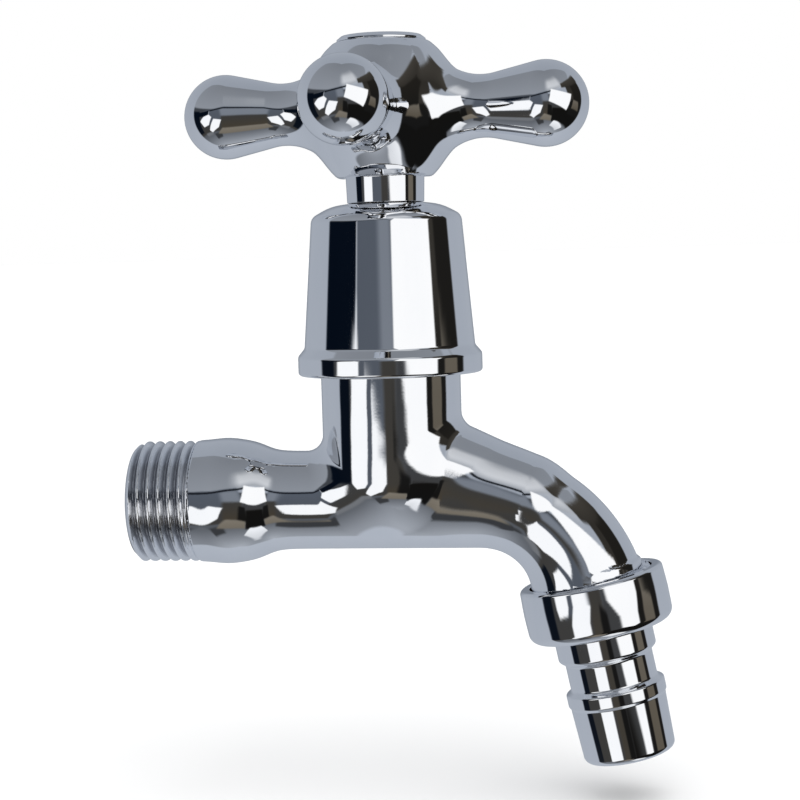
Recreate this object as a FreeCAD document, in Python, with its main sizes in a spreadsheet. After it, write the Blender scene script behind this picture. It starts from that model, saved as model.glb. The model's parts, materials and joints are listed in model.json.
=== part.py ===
import FreeCAD, Part
import math
import os
import re
import Sketcher

# Washing machine tap: a chromed wall tap with a quarter-turn ceramic headwork,
# a cross handle and a push-on hose nozzle held by a union nut.
# The origin is on the inlet axis at the inner end of the wall thread.
# The thread points along -X into the wall, the spout along +X, the valve axis up.

doc = FreeCAD.newDocument("washing_machine_tap")
sheet = doc.addObject("Spreadsheet::Sheet", "Sizes")

SIZES = {
    # Wall inlet
    "thread_radius": 10.4775,
    "thread_length": 11.0,
    "thread_chamfer": 1.0,
    "collar_crown_radius": 26.0,
    "collar_shoulder_radius": 10.6,
    "collar_length": 8.2,
    "taper_length": 7.8,
    "inlet_mouth_radius": 6.6,
    "inlet_mouth_depth": 22.0,
    "inlet_bore_radius": 4.6,
    "bore_taper": 3.0,
    # Main tube and spout
    "valve_x": 34.0,
    "tube_radius": 8.45,
    "bend_start": 14.8,
    "shoulder_start": 5.0,
    "shoulder_slope": 25.0,
    "shoulder_rise": 0.25,
    "shoulder_radius": 10.2,
    "shoulder_end_radius": 8.0,
    "shoulder_tail_radius": 7.6,
    "bend_radius": 18.2,
    "bend_turn": 75.3,
    "spout_mouth_radius": 9.5,
    "nozzle_tilt": 11.5,
    "outlet_offset": 0.8,
    "outlet_neck_radius": 9.0,
    "outlet_neck_length": 1.5,
    "outlet_relief": 1.0,
    "outlet_thread_radius": 10.4775,
    "outlet_thread_length": 4.6,
    "passage_radius": 3.0,
    "passage_start": 8.0,
    "passage_rise": 3.75,
    "passage_drop": 4.7,
    "passage_slope": 38.0,
    "outlet_bore_radius": 6.0,
    # Valve socket
    "socket_radius": 11.9,
    "socket_rim": 27.0,
    "bowl_radius": 7.5,
    "bowl_top": 4.0,
    "seat_height": 6.2,
    "seat_radius": 4.5,
    "chamber_radius": 9.9,
    "chamber_height": 9.8,
    "socket_bore_radius": 9.32,
    # Headwork housing
    "fit": 0.07,
    "slack": 0.15,
    "film": 0.03,
    "gasket_thickness": 1.0,
    "housing_barrel_radius": 8.6,
    "housing_gap": 1.2,
    "disc_bore_radius": 7.85,
    "window_width": 9.0,
    "window_height": 3.8,
    "hexagon_across": 22.0,
    "hexagon_height": 5.0,
    "housing_neck_radius": 7.5,
    "housing_neck_length": 20.4,
    "housing_tip_radius": 5.6,
    "housing_tip_length": 6.0,
    # Seals and discs
    "seal_thickness": 2.8,
    "seal_inner_radius": 5.7,
    "support_wall": 0.9,
    "support_height": 2.1,
    "fixed_disc_thickness": 2.6,
    "moving_disc_thickness": 3.0,
    "port_outer_radius": 5.9,
    "port_inner_radius": 1.9,
    "port_half_angle": 38.0,
    "lug_width": 3.0,
    # Spindle
    "spindle_radius": 4.55,
    "spindle_head_height": 2.9,
    "tang_width": 3.2,
    "tang_depth": 1.4,
    "friction_washer_thickness": 0.6,
    "ring_groove_radius": 3.35,
    "ring_groove_width": 1.7,
    "ring_rise": 4.84,
    "ring_pitch": 5.5,
    "clip_groove_radius": 3.7,
    "clip_thickness": 0.9,
    "clip_radius": 5.35,
    "clip_land": 0.5,
    "clip_span": 300.0,
    "spline_radius": 3.95,
    "spline_depth": 0.45,
    "spline_length": 9.6,
    # Bell cover and neck sleeve
    "skirt_overlap": 5.35,
    "skirt_radius": 15.7,
    "skirt_height": 4.1,
    "skirt_round": 0.4,
    "bell_bottom_radius": 14.6,
    "bell_top_radius": 12.85,
    "bell_shoulder_drop": 1.5,
    "bell_shoulder_round": 1.7,
    "bell_crown_radius": 12.0,
    "bell_web": 2.2,
    "bell_wall": 1.3,
    "sleeve_bottom_radius": 6.5,
    "sleeve_top_radius": 6.7,
    "sleeve_height": 5.4,
    # Cross handle
    "hub_gap": 4.3,
    "hub_foot_radius": 8.0,
    "hub_waist_radius": 10.4,
    "hub_cone_height": 4.0,
    "hub_radius": 10.9,
    "hub_crown_radius": 60.0,
    "hub_height": 22.7,
    "hub_top_radius": 8.9,
    "hub_top_round": 2.2,
    "hub_shoulder_radius": 3.5,
    "foot_recess_radius": 7.1,
    "foot_recess_depth": 3.6,
    "arm_height": 11.2,
    "arm_reach": 27.7,
    "arm_ball_radius": 7.2,
    "arm_waist_radius": 5.27,
    "arm_waist_reach": 17.3,
    "arm_root_radius": 9.0,
    "arm_root_run": 7.7,
    "arm_cone_angle": 11.7,
    "handle_turn": -4.0,
    "screw_web": 3.54,
    "cap_recess_radius": 7.3,
    # Handle screw and index cap
    "screw_radius": 2.0,
    "screw_head_radius": 3.5,
    "screw_head_height": 2.6,
    "screw_rim_height": 1.3,
    "screw_face_radius": 1.75,
    "screw_dome_radius": 2.6,
    "screw_length": 9.5,
    "screw_slot_width": 1.0,
    "screw_slot_depth": 1.2,
    "lock_washer_radius": 3.7,
    "lock_washer_thickness": 0.9,
    "cap_radius": 8.4,
    "cap_rise": 1.75,
    "cap_bevel": 0.9,
    "cap_edge_height": 0.6,
    "cap_crown_height": 0.45,
    "cap_wall": 0.9,
    "cap_plug_height": 3.4,
    # Union nut, nozzle and washer
    "union_radius": 12.45,
    "union_height": 9.3,
    "union_web": 1.7,
    "union_round": 1.3,
    "flange_thickness": 1.5,
    "washer_bore_radius": 6.4,
    "nozzle_bore_radius": 5.6,
    "barrel_radius": 8.4,
    "barrel_length": 4.7,
    "groove_radius": 7.45,
    "groove_length": 4.5,
    "lip_radius": 8.45,
    "lip_length": 3.1,
    "lip_chamfer": 0.6,
    "tip_radius": 8.15,
    "tip_end_radius": 7.8,
    "tip_length": 9.6,
    "tip_round": 1.2,
}

# Places that follow from the sizes, each from what carries it
PLACES = {
    # Up the valve axis: seat, seal, discs and spindle head
    "housing_foot": "seat_height + housing_gap",
    "chamber_top": "seat_height + chamber_height",
    "passage_height": "seat_height + passage_rise",
    "fixed_disc_foot": "seat_height + seal_thickness",
    "fixed_disc_top": "fixed_disc_foot + fixed_disc_thickness",
    "moving_disc_foot": "fixed_disc_top + film",
    "moving_disc_top": "moving_disc_foot + moving_disc_thickness",
    "head_top": "moving_disc_top + spindle_head_height",
    "disc_bore_top": "head_top + film + friction_washer_thickness",
    "lower_ring": "disc_bore_top + ring_rise",
    "upper_ring": "lower_ring + ring_pitch",
    "disc_radius": "disc_bore_radius - slack",
    # Up the valve axis: housing, bell, sleeve and handle
    "flange_foot": "socket_rim + gasket_thickness",
    "bell_seat": "flange_foot + housing_neck_length",
    "housing_top": "bell_seat + housing_tip_length",
    "bell_foot": "socket_rim - skirt_overlap",
    "skirt_top": "bell_foot + skirt_height",
    "bell_shoulder": "bell_seat - bell_shoulder_drop",
    "bell_top": "bell_seat + bell_web",
    "sleeve_top": "bell_top + sleeve_height",
    "clip_foot": "housing_top + film",
    "clip_top": "clip_foot + clip_thickness",
    "spline_foot": "clip_top + film + clip_land",
    "spline_top": "spline_foot + spline_length",
    "screw_seat": "spline_top + screw_web",
    "screw_foot": "spline_top - screw_length",
    "head_seat": "screw_seat + lock_washer_thickness",
    "hub_foot": "bell_top + hub_gap",
    "recess_top": "hub_foot + foot_recess_depth",
    "arm_axis": "hub_foot + arm_height",
    "hub_top": "hub_foot + hub_height",
    "arm_root_reach": "arm_waist_reach - arm_root_run",
    # Round the spout's bend, then down the nozzle from the nut's top
    "bend_foot": "valve_x + bend_start",
    "mouth_x": "bend_foot + bend_radius * sin(bend_turn * 1deg)",
    "mouth_z": "0 - bend_radius * (1 - cos(bend_turn * 1deg))",
    "nut_x": "mouth_x + outlet_offset * cos(nozzle_tilt * 1deg)",
    "nut_z": "mouth_z + outlet_offset * sin(nozzle_tilt * 1deg)",
    "nut_web": "union_height - union_web",
    "flange_face": "nut_web - flange_thickness",
    "barrel_end": "union_height + barrel_length",
    "groove_end": "barrel_end + groove_length",
    "lip_end": "groove_end + lip_length",
    "nozzle_end": "lip_end + tip_length",
}


def fill_sheet():
    """Write each driving dimension as one named cell."""
    for row, (alias, number) in enumerate(SIZES.items(), start=1):
        sheet.set(f"A{row}", alias)
        sheet.set(f"B{row}", str(number))
        sheet.setAlias(f"B{row}", alias)
    doc.recompute()


def bound(text):
    """Turn sizes and places written in plain names into an expression on the sheet."""
    def cell(word):
        name = word.group()
        if name in PLACES:
            return f"({bound(PLACES[name])})"
        return "Sizes." + name if name in SIZES else name
    return re.sub(r"[a-z][a-z_]*", cell, str(text))


def amount(text):
    """Work a size expression out."""
    return float(sheet.evalExpression(bound(text)))


fill_sheet()

VALVE_AXIS = "placement(vector(valve_x; 0; 0); rotation(vector(0; 0; 1); 0deg))"
HANDLE_AXIS = "placement(vector(valve_x; 0; 0); rotation(vector(0; 0; 1); handle_turn * 1deg))"
NOZZLE_AXIS = ("placement(vector(nut_x; 0; nut_z);"
               " rotation(vector(0; 1; 0); (180 - nozzle_tilt) * 1deg))")

# What repeats, a full turn in degrees, and the shares of the bend where the spout's rings stand
SPLINE_TEETH = 20
ARMS = 4
HEXAGON_SIDES = 6
FULL_TURN = 360
BEND_SHARES = ("0", "0.5", "0.75", "1")
SHOULDER_TAIL = "0.6"
PASSAGE_SHARES = ("0.35", "0.65", "1")
NEAR = 1e-6

pieces = []


def piece(label, place=None):
    """Start a sub-part; its frame follows the sheet."""
    body = doc.addObject("PartDesign::Body", label)
    body.Label = label
    if place:
        body.setExpression("Placement", bound(place))
    pieces.append(body)
    return body


def sketch(body, name, plane, place=None):
    """Lay a sketch on one of the body's origin planes."""
    support = [item for item in body.Origin.OriginFeatures if item.Role == plane][0]
    drawing = body.newObject("Sketcher::SketchObject", name)
    drawing.AttachmentSupport = (support, [""])
    drawing.MapMode = "FlatFace"
    if place:
        drawing.setExpression("AttachmentOffset", bound(place))
    return drawing


def side(start, end, bulge):
    """A straight side, or an arc whose bulge radius is plus to the right of its way."""
    if not bulge:
        return Part.LineSegment(start, end)
    chord = end - start
    half = chord.Length / 2
    radius = abs(bulge)
    sagitta = radius - (radius ** 2 - half ** 2) ** 0.5
    right = FreeCAD.Vector(chord.y, -chord.x, 0).normalize()
    middle = (start + end) * 0.5 + right * (sagitta if bulge > 0 else -sagitta)
    return Part.Arc(start, middle, end)


def outline(body, name, corners, plane="XZ_Plane", place=None):
    """Draw a closed outline; a corner is (across, up) or (across, up, bulge to the next)."""
    drawing = sketch(body, name, plane, place)
    points = [FreeCAD.Vector(amount(corner[0]), amount(corner[1]), 0) for corner in corners]
    count = len(points)
    for index, corner in enumerate(corners):
        bulge = amount(corner[2]) if len(corner) > 2 else 0
        drawing.addGeometry(side(points[index], points[(index + 1) % count], bulge), False)
    ends = []
    for index in range(count):
        begins = (drawing.getPoint(index, 1) - points[index]).Length < NEAR
        ends.append((1, 2) if begins else (2, 1))
    for index, corner in enumerate(corners):
        follower = (index + 1) % count
        drawing.addConstraint(Sketcher.Constraint(
            "Coincident", index, ends[index][1], follower, ends[follower][0]))
        for kind, text in (("DistanceX", corner[0]), ("DistanceY", corner[1])):
            number = drawing.addConstraint(Sketcher.Constraint(
                kind, -1, 1, index, ends[index][0], amount(text)))
            drawing.setExpression(f"Constraints[{number}]", bound(text))
        if len(corner) > 2:
            radius = f"abs({corner[2]})"
            number = drawing.addConstraint(Sketcher.Constraint("Radius", index, amount(radius)))
            drawing.setExpression(f"Constraints[{number}]", bound(radius))
    return drawing


def circle(body, name, radius, plane="XY_Plane", place=None):
    """Draw one circle about the origin of the sketch."""
    drawing = sketch(body, name, plane, place)
    centre = FreeCAD.Vector(0, 0, 0)
    drawing.addGeometry(Part.Circle(centre, FreeCAD.Vector(0, 0, 1), amount(radius)), False)
    drawing.addConstraint(Sketcher.Constraint("Coincident", 0, 3, -1, 1))
    drawing.addConstraint(Sketcher.Constraint("Radius", 0, amount(radius)))
    drawing.setExpression("Constraints[1]", bound(radius))
    return drawing


def turned(body, name, corners, cut=False, axis="V_Axis", place=None, angle=FULL_TURN):
    """Turn an outline about an axis of its sketch, adding or cutting."""
    drawing = outline(body, name + "Outline", corners, "XZ_Plane", place)
    kind = "PartDesign::Groove" if cut else "PartDesign::Revolution"
    feature = body.newObject(kind, name)
    feature.Profile = drawing
    feature.ReferenceAxis = (drawing, [axis])
    feature.setExpression("Angle", bound(angle) + " * 1deg")
    doc.recompute()
    return feature


def padded(body, name, drawing, length):
    """Raise a sketch along its normal."""
    feature = body.newObject("PartDesign::Pad", name)
    feature.Profile = drawing
    feature.setExpression("Length", bound(length))
    doc.recompute()
    return feature


def pocketed(body, name, drawing, length=None):
    """Cut a sketch below its plane to a depth, or both ways through everything."""
    feature = body.newObject("PartDesign::Pocket", name)
    feature.Profile = drawing
    if length:
        feature.setExpression("Length", bound(length))
    else:
        feature.Type = "ThroughAll"
        feature.Midplane = True
    doc.recompute()
    return feature


def station_ring(body, name, station):
    """A circle across the waterway at a station (x, z, radius, slope)."""
    across, up, radius, slope = station
    place = (f"placement(vector(0; {up}; {across});"
             f" rotation(vector(1; 0; 0); ({slope}) * 1deg))")
    return circle(body, name, radius, "YZ_Plane", place)


def lofted(body, name, stations, cut=False, straight=False):
    """Run a smooth or a straight-sided skin through round stations along the waterway."""
    rings = [station_ring(body, f"{name}Ring{number}", station)
             for number, station in enumerate(stations)]
    kind = "PartDesign::SubtractiveLoft" if cut else "PartDesign::AdditiveLoft"
    feature = body.newObject(kind, name)
    feature.Profile = rings[0]
    feature.Sections = rings[1:]
    feature.Ruled = straight
    doc.recompute()
    return feature


def patterned(body, name, feature, count):
    """Repeat a feature round the body's own upright axis."""
    upright = [item for item in body.Origin.OriginFeatures if item.Role == "Z_Axis"][0]
    pattern = body.newObject("PartDesign::PolarPattern", name)
    pattern.Originals = [feature]
    pattern.Axis = (upright, [""])
    pattern.Angle = FULL_TURN
    pattern.Occurrences = count
    body.Tip = pattern
    doc.recompute()
    return pattern


def ring(label, inner, outer, foot, top, place=VALVE_AXIS):
    """A plain ring between two heights."""
    body = piece(label, place)
    turned(body, label.title().replace("_", ""), [
        (inner, foot), (outer, foot), (outer, top), (inner, top)])
    return body


def bend_station(share):
    """The spout's centre, radius and slope at a share of the way round its bend."""
    turn = f"({share} * bend_turn)"
    across = f"(bend_foot + bend_radius * sin({turn} * 1deg))"
    up = f"(0 - bend_radius * (1 - cos({turn} * 1deg)))"
    radius = f"(tube_radius + (spout_mouth_radius - tube_radius) * {share}^3)"
    return across, up, radius, turn


def passage_station(share):
    """The passage's centre, radius and slope at a share of the way round the bend."""
    across, up, _, turn = bend_station(share)
    radius = f"(passage_radius + (outlet_bore_radius - passage_radius) * {share})"
    return across, up, radius, turn


def cast_outside(body):
    """The inlet, the tube with its bend, the outlet boss and the valve socket."""
    taper_end = "(collar_length + taper_length)"
    taper_middle = "(collar_length + taper_length / 2)"
    drop = "(collar_shoulder_radius - tube_radius)"
    taper_round = f"((taper_length^2 + {drop}^2) / (4 * {drop}))"
    turned(body, "Inlet", [
        ("0 - thread_length", "0"),
        ("bend_foot", "0"),
        ("bend_foot", "tube_radius"),
        (taper_end, "tube_radius", "0 - " + taper_round),
        (taper_middle, f"tube_radius + {drop} / 2", taper_round),
        ("collar_length", "collar_shoulder_radius", "collar_crown_radius"),
        ("0", "thread_radius"),
        ("thread_chamfer - thread_length", "thread_radius"),
        ("0 - thread_length", "thread_radius - thread_chamfer")], axis="H_Axis")
    turned(body, "Socket", [
        ("0", "bowl_top - bowl_radius"),
        ("socket_radius - bowl_radius", "bowl_top - bowl_radius", "bowl_radius"),
        ("socket_radius", "bowl_top"),
        ("socket_radius", "socket_rim"),
        ("0", "socket_rim")],
        place=VALVE_AXIS)
    drawing = sketch(body, "BendPath", "XZ_Plane")
    centre = FreeCAD.Vector(amount("bend_foot"), 0 - amount("bend_radius"), 0)
    path = Part.Circle(centre, FreeCAD.Vector(0, 0, 1), amount("bend_radius"))
    sweep = 90 - amount("bend_turn")
    drawing.addGeometry(Part.ArcOfCircle(path, math.radians(sweep), math.radians(90)), False)
    for kind, point, text in (("DistanceX", 3, "bend_foot"), ("DistanceY", 3, "0 - bend_radius"),
                              ("DistanceX", 2, "bend_foot"), ("DistanceX", 1, "mouth_x"),
                              ("DistanceY", 1, "mouth_z")):
        number = drawing.addConstraint(Sketcher.Constraint(kind, -1, 1, 0, point, amount(text)))
        drawing.setExpression(f"Constraints[{number}]", bound(text))
    bend = body.newObject("PartDesign::AdditivePipe", "Bend")
    rings = [station_ring(body, f"BendRing{number}", bend_station(share))
             for number, share in enumerate(BEND_SHARES)]
    bend.Profile = rings[0]
    bend.Spine = drawing
    bend.Transformation = "Multisection"
    bend.Sections = rings[1:]
    doc.recompute()
    lean = "shoulder_slope * 1deg"
    outer = "(bend_radius + tube_radius + shoulder_rise)"
    meet_x = f"(bend_foot + {outer} * sin({lean}))"
    meet_z = f"({outer} * cos({lean}) - bend_radius)"
    root_top = f"({meet_z} + ({meet_x} - valve_x - shoulder_start) * tan({lean}))"
    tail_x, tail_z, _, tail_slope = bend_station(SHOULDER_TAIL)
    lofted(body, "Shoulder", [
        ("(valve_x + shoulder_start)", f"({root_top} - shoulder_radius)", "shoulder_radius", "0"),
        (f"({meet_x} - shoulder_end_radius * sin({lean}))",
         f"({meet_z} - shoulder_end_radius * cos({lean}))", "shoulder_end_radius",
         "shoulder_slope"),
        (tail_x, tail_z, "shoulder_tail_radius", tail_slope)], straight=True)
    turned(body, "OutletBoss", [
        ("0", "0 - outlet_neck_length"),
        ("0", "outlet_thread_length"),
        ("outlet_thread_radius", "outlet_thread_length"),
        ("outlet_thread_radius", "outlet_relief"),
        ("outlet_neck_radius", "outlet_relief"),
        ("outlet_neck_radius", "0 - outlet_neck_length")],
        place="placement(vector(nut_x; nut_z; 0);"
              " rotation(vector(0; 0; 1); (180 + nozzle_tilt) * 1deg))")


def waterway(body):
    """The inlet bore, the seat, the valve chamber and the passage down the spout."""
    turned(body, "InletBore", [
        ("0 - thread_length", "0"),
        ("valve_x + seat_radius", "0"),
        ("valve_x + seat_radius", "inlet_bore_radius"),
        ("inlet_mouth_depth - thread_length + bore_taper", "inlet_bore_radius"),
        ("inlet_mouth_depth - thread_length", "inlet_mouth_radius"),
        ("0 - thread_length", "inlet_mouth_radius")], cut=True, axis="H_Axis")
    turned(body, "Chamber", [
        ("0", "0"),
        ("seat_radius", "0"),
        ("seat_radius", "seat_height"),
        ("chamber_radius", "seat_height"),
        ("chamber_radius", "chamber_top"),
        ("socket_bore_radius", "chamber_top + chamber_radius - socket_bore_radius"),
        ("socket_bore_radius", "socket_rim"),
        ("0", "socket_rim")], cut=True,
        place=VALVE_AXIS)
    lofted(body, "Passage", [
        ("(valve_x + passage_start)", "passage_height", "passage_radius", "passage_slope"),
        ("(valve_x + passage_start + passage_drop / tan(passage_slope * 1deg))",
         "(passage_height - passage_drop)", "passage_radius", "passage_slope"),
        *[passage_station(share) for share in PASSAGE_SHARES],
        ("(nut_x + outlet_thread_length * sin(nozzle_tilt * 1deg))",
         "(nut_z - outlet_thread_length * cos(nozzle_tilt * 1deg))",
         "outlet_bore_radius", "(90 - nozzle_tilt)")], cut=True)


def tap_body():
    """One casting: threaded inlet, valve socket with its seat, and the bent spout."""
    body = piece("tap_body")
    cast_outside(body)
    waterway(body)


def raised(height):
    """A sketch plane lifted along the body's own upright axis."""
    return f"placement(vector(0; 0; {height}); rotation(vector(0; 0; 1); 0deg))"


def rectangle(width_from, foot, width_to, top):
    """The four corners of an upright rectangle."""
    return [(width_from, foot), (width_to, foot), (width_to, top), (width_from, top)]


def headwork_housing():
    """Brass housing that screws into the socket and guides the spindle."""
    body = piece("headwork_housing", VALVE_AXIS)
    bore = "spindle_radius + fit"
    turned(body, "Barrel", [
        ("0", "housing_foot"),
        ("housing_barrel_radius", "housing_foot"),
        ("housing_barrel_radius", "chamber_top + chamber_radius - socket_bore_radius"),
        ("socket_bore_radius - fit", "chamber_top + chamber_radius - housing_barrel_radius"),
        ("socket_bore_radius - fit", "flange_foot"),
        ("housing_neck_radius", "flange_foot"),
        ("housing_neck_radius", "bell_seat"),
        ("housing_tip_radius", "bell_seat"),
        ("housing_tip_radius", "housing_top"),
        ("0", "housing_top")])
    corner = f"hexagon_across / 2 / cos({FULL_TURN / HEXAGON_SIDES / 2}deg)"
    bearings = [FULL_TURN / HEXAGON_SIDES * number for number in range(HEXAGON_SIDES)]
    flats = [(f"{corner} * cos({bearing}deg)", f"{corner} * sin({bearing}deg)")
             for bearing in bearings]
    drawing = outline(body, "HexagonOutline", flats, "XY_Plane", raised("flange_foot"))
    padded(body, "Hexagon", drawing, "hexagon_height")
    turned(body, "Bore", [
        ("0", "housing_foot"),
        ("disc_bore_radius", "housing_foot"),
        ("disc_bore_radius", "disc_bore_top"),
        (bore, "disc_bore_top"),
        (bore, "housing_top"),
        ("0", "housing_top")], cut=True)
    windows = outline(body, "WindowOutline", rectangle(
        "0 - window_width / 2", "moving_disc_foot",
        "window_width / 2", "moving_disc_foot + window_height"), "YZ_Plane")
    pocketed(body, "Windows", windows)
    slots = outline(body, "LugSlotOutline", rectangle(
        "0 - lug_width / 2 - slack", "housing_foot",
        "lug_width / 2 + slack", "fixed_disc_top"), "XZ_Plane")
    pocketed(body, "LugSlots", slots)


def sector(radius_in, radius_out, middle, half):
    """The outline of a sector port about a bearing in degrees."""
    first = f"(({middle}) - {half}) * 1deg"
    last = f"(({middle}) + {half}) * 1deg"
    return [
        (f"{radius_in} * cos({first})", f"{radius_in} * sin({first})"),
        (f"{radius_out} * cos({first})", f"{radius_out} * sin({first})", radius_out),
        (f"{radius_out} * cos({last})", f"{radius_out} * sin({last})"),
        (f"{radius_in} * cos({last})", f"{radius_in} * sin({last})", f"0 - ({radius_in})")]


def fixed_disc():
    """Lower ceramic disc, keyed to the housing, with two sector ports."""
    body = piece("fixed_disc", VALVE_AXIS)
    plate = circle(body, "PlateOutline", "disc_radius", "XY_Plane", raised("fixed_disc_foot"))
    padded(body, "Plate", plate, "fixed_disc_thickness")
    lugs = outline(body, "LugOutline", rectangle(
        "0 - lug_width / 2", "0 - housing_barrel_radius",
        "lug_width / 2", "housing_barrel_radius"), "XY_Plane", raised("fixed_disc_foot"))
    padded(body, "Lugs", lugs, "fixed_disc_thickness")
    port = outline(body, "PortOutline",
                   sector("port_inner_radius", "port_outer_radius", 0, "port_half_angle"),
                   "XY_Plane", raised("fixed_disc_top"))
    cut = pocketed(body, "Port", port, "fixed_disc_thickness")
    patterned(body, "Ports", cut, 2)


def moving_disc():
    """Upper ceramic disc that the spindle turns, with two open sector notches."""
    body = piece("moving_disc", HANDLE_AXIS)
    plate = circle(body, "PlateOutline", "disc_radius", "XY_Plane", raised("moving_disc_foot"))
    padded(body, "Plate", plate, "moving_disc_thickness")
    notch = outline(body, "NotchOutline",
                    sector("port_inner_radius", "chamber_radius", 90, "port_half_angle"),
                    "XY_Plane", raised("moving_disc_top"))
    cut = pocketed(body, "Notch", notch, "moving_disc_thickness")
    patterned(body, "Notches", cut, 2)
    groove = outline(body, "SlotOutline", rectangle(
        "0 - chamber_radius", "0 - tang_width / 2 - slack",
        "chamber_radius", "tang_width / 2 + slack"), "XY_Plane", raised("moving_disc_top"))
    pocketed(body, "Slot", groove, "tang_depth")


def serration(outer, inner, teeth):
    """A star outline with pointed teeth for the handle drive."""
    corners = []
    for tooth in range(teeth):
        tip = FULL_TURN * tooth / teeth
        root = FULL_TURN * (tooth + 0.5) / teeth
        corners.append((f"({outer}) * cos({tip}deg)", f"({outer}) * sin({tip}deg)"))
        corners.append((f"({inner}) * cos({root}deg)", f"({inner}) * sin({root}deg)"))
    return corners


def spindle():
    """Turned brass spindle: disc drive, two ring grooves, clip groove and splined end."""
    body = piece("spindle", HANDLE_AXIS)
    corners = [("0", "moving_disc_top"), ("disc_radius", "moving_disc_top"), ("disc_radius", "head_top"),
               ("spindle_radius", "head_top")]
    for height in ("lower_ring", "upper_ring"):
        corners += [("spindle_radius", f"{height} - ring_groove_width / 2"),
                    ("ring_groove_radius", f"{height} - ring_groove_width / 2"),
                    ("ring_groove_radius", f"{height} + ring_groove_width / 2"),
                    ("spindle_radius", f"{height} + ring_groove_width / 2")]
    corners += [("spindle_radius", "housing_top"), ("clip_groove_radius", "housing_top"),
                ("clip_groove_radius", "clip_top + film"), ("spindle_radius", "clip_top + film"),
                ("spindle_radius", "spline_foot"), ("0", "spline_foot")]
    turned(body, "Shaft", corners)
    tang = outline(body, "TangOutline", rectangle(
        "0 - port_outer_radius", "0 - tang_width / 2", "port_outer_radius", "tang_width / 2"),
        "XY_Plane", raised("moving_disc_top - tang_depth + slack"))
    padded(body, "Tang", tang, "tang_depth - slack")
    star = outline(body, "SplineOutline",
                   serration("spline_radius", "spline_radius - spline_depth", SPLINE_TEETH),
                   "XY_Plane", raised("spline_foot"))
    padded(body, "Spline", star, "spline_length")
    turned(body, "ScrewHole", [
        ("0", "screw_foot"),
        ("screw_radius + fit", "screw_foot"),
        ("screw_radius + fit", "spline_top"),
        ("0", "spline_top")], cut=True)


def seal_ring(label, height):
    """Rubber ring of round section in a spindle groove, just clear of the housing bore."""
    body = piece(label, VALVE_AXIS)
    section = "((spindle_radius + fit - film - ring_groove_radius) / 2)"
    place = (f"placement(vector(ring_groove_radius + {section}; {height}; 0);"
             " rotation(vector(0; 0; 1); 0deg))")
    upright = [item for item in body.Origin.OriginFeatures if item.Role == "Z_Axis"][0]
    feature = body.newObject("PartDesign::Revolution", "Ring")
    feature.Profile = circle(body, "Section", section, "XZ_Plane", place)
    feature.ReferenceAxis = (upright, [""])
    feature.Angle = FULL_TURN
    doc.recompute()


def spindle_clip():
    """Open spring clip that keeps the spindle in the housing."""
    body = piece("spindle_clip", HANDLE_AXIS)
    turned(body, "Clip", rectangle("clip_groove_radius + film", "clip_foot",
                                   "clip_radius", "clip_top"), angle="clip_span")


def bell_cover():
    """Spun bell that hides the headwork, with a plain skirt round its foot."""
    body = piece("bell_cover", VALVE_AXIS)
    turned(body, "Bell", [
        ("skirt_radius - bell_wall", "bell_foot"),
        ("skirt_radius - skirt_round", "bell_foot", "skirt_round"),
        ("skirt_radius", "bell_foot + skirt_round"),
        ("skirt_radius", "skirt_top - skirt_round", "skirt_round"),
        ("skirt_radius - skirt_round", "skirt_top"),
        ("bell_bottom_radius", "skirt_top"),
        ("bell_top_radius", "bell_shoulder", "bell_shoulder_round"),
        ("bell_top_radius - bell_shoulder_round", "bell_shoulder + bell_shoulder_round",
         "bell_crown_radius"),
        ("sleeve_bottom_radius", "bell_top"),
        ("housing_tip_radius + fit", "bell_top"),
        ("housing_tip_radius + fit", "bell_seat"),
        ("bell_top_radius - bell_wall - bell_shoulder_round", "bell_seat"),
        ("bell_top_radius - bell_wall", "bell_shoulder"),
        ("bell_bottom_radius - bell_wall", "skirt_top"),
        ("skirt_radius - bell_wall", "skirt_top - bell_wall")])


def neck_sleeve():
    """Round chromed nut on the housing tip that holds the bell down."""
    body = piece("neck_sleeve", VALVE_AXIS)
    turned(body, "Sleeve", [
        ("housing_tip_radius + fit", "bell_top"),
        ("sleeve_bottom_radius", "bell_top"),
        ("sleeve_top_radius", "sleeve_top - slack"),
        ("sleeve_top_radius - slack", "sleeve_top"),
        ("housing_tip_radius + fit", "sleeve_top")])


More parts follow.
